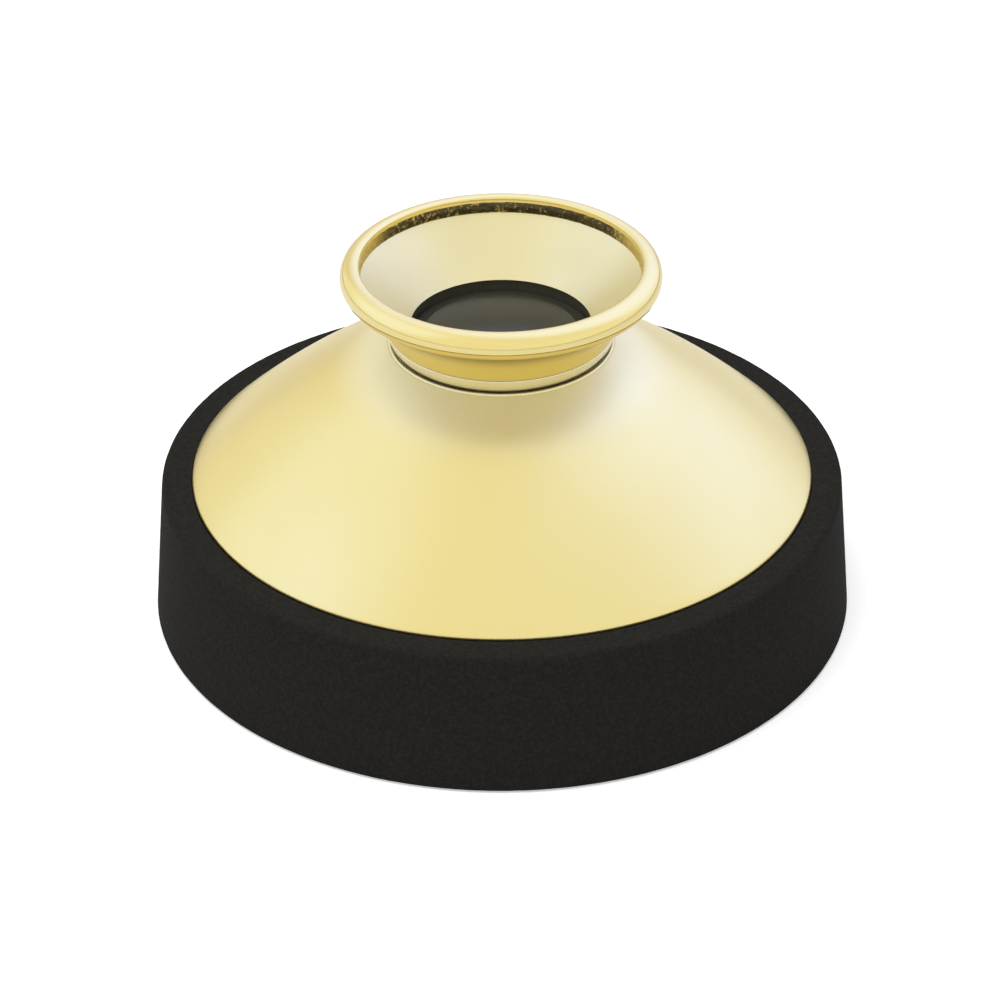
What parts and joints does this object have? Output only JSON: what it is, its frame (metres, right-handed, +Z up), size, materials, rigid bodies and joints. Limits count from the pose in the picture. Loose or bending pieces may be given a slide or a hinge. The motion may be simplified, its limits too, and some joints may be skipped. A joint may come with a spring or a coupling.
{
  "type": "saxophone mute",
  "caption": "Free-standing bell mute: a shallow brass cone on a tapered black foam ring, with a flared double-walled funnel clamped at its centre.",
  "frame": {"origin": "centre of the foam ring's flat underside, on the turning axis", "axes": "+Z up along the turning axis, towards the funnel's mouth; the part is turned about +Z, so +X and +Y are alike except at the snap ring's opening (+X)"},
  "size_m": [0.115, 0.115, 0.0614],
  "materials": {
    "foam": "matte closed-cell foam",
    "polished_brass": "mirror polished, lacquered",
    "satin_brass": "spun, satin",
    "spring_steel": "ground",
    "gasket": "matte",
    "disc": "glossy black",
    "spacer": "moulded, matte black",
    "adhesive": "double-sided tape"
  },
  "bodies": {
    "root": {"foam_ring": "foam", "bond_ring": "adhesive", "dish": "polished_brass", "collar_gasket": "gasket", "collar_ring": "polished_brass", "cup_shell": "satin_brass", "cup_liner": "polished_brass", "rim_ring": "polished_brass", "throat_stem": "satin_brass", "throat_disc": "disc", "snap_ring": "spring_steel", "cone_spacer": "spacer", "clamp_nut": "satin_brass"}
  },
  "joints": []
}
